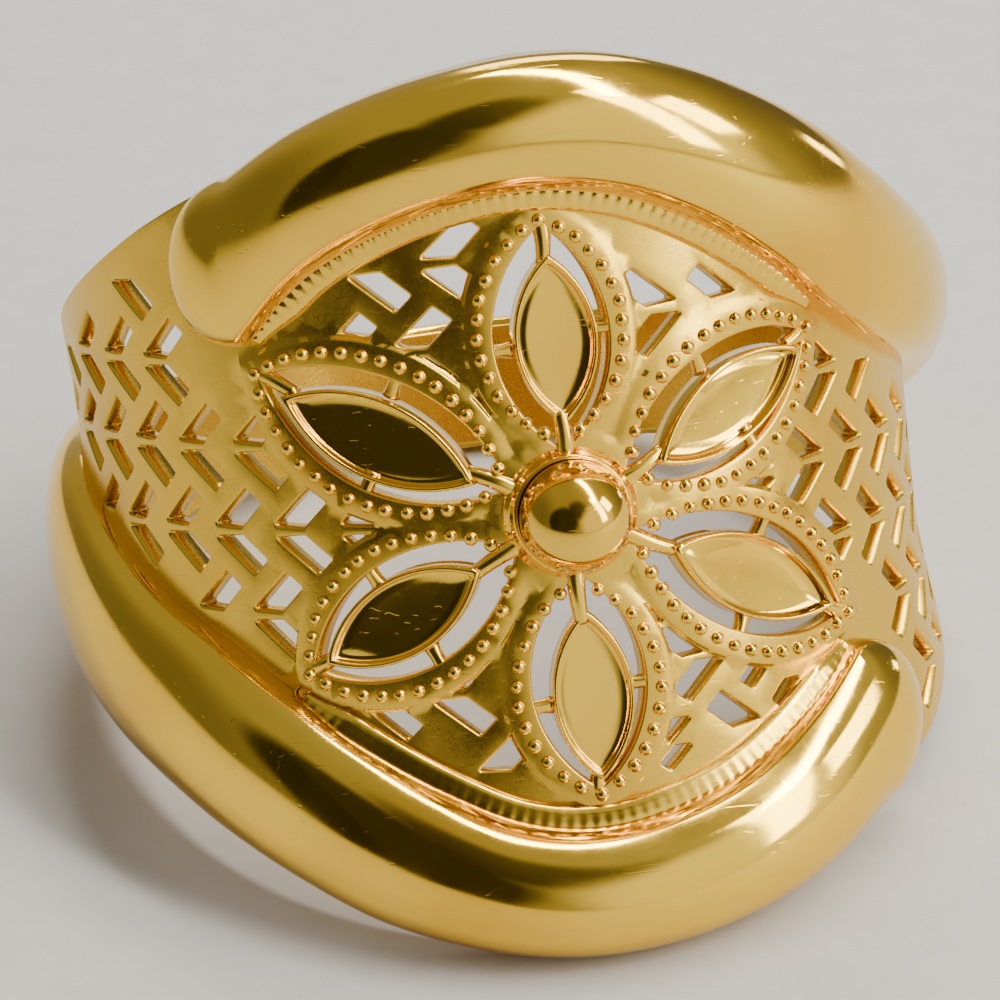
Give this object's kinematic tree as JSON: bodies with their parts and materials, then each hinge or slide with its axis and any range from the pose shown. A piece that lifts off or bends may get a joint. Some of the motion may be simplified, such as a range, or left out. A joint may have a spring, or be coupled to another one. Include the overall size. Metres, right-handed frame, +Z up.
{
  "type": "finger ring",
  "caption": "Wide gold finger ring with two crossing crescents, a pierced herringbone band and a six-petal flower with a ball in its middle.",
  "frame": {"origin": "bottom centre of the ring's outline as it lies at rest on its side", "axes": "+Z is up, -Y is the front, where the flower leans back and looks up, and the finger hole's axis leans 23 degrees back from +Z"},
  "size_m": [0.021, 0.023, 0.018],
  "materials": {
    "gold_band": "satin and polished yellow gold",
    "gold_crescents": "polished yellow gold",
    "gold_ball": "polished yellow gold"
  },
  "bodies": {
    "root": {"pierced_band": "gold_band", "crescent_shank": "gold_crescents", "centre_ball": "gold_ball"}
  },
  "joints": []
}
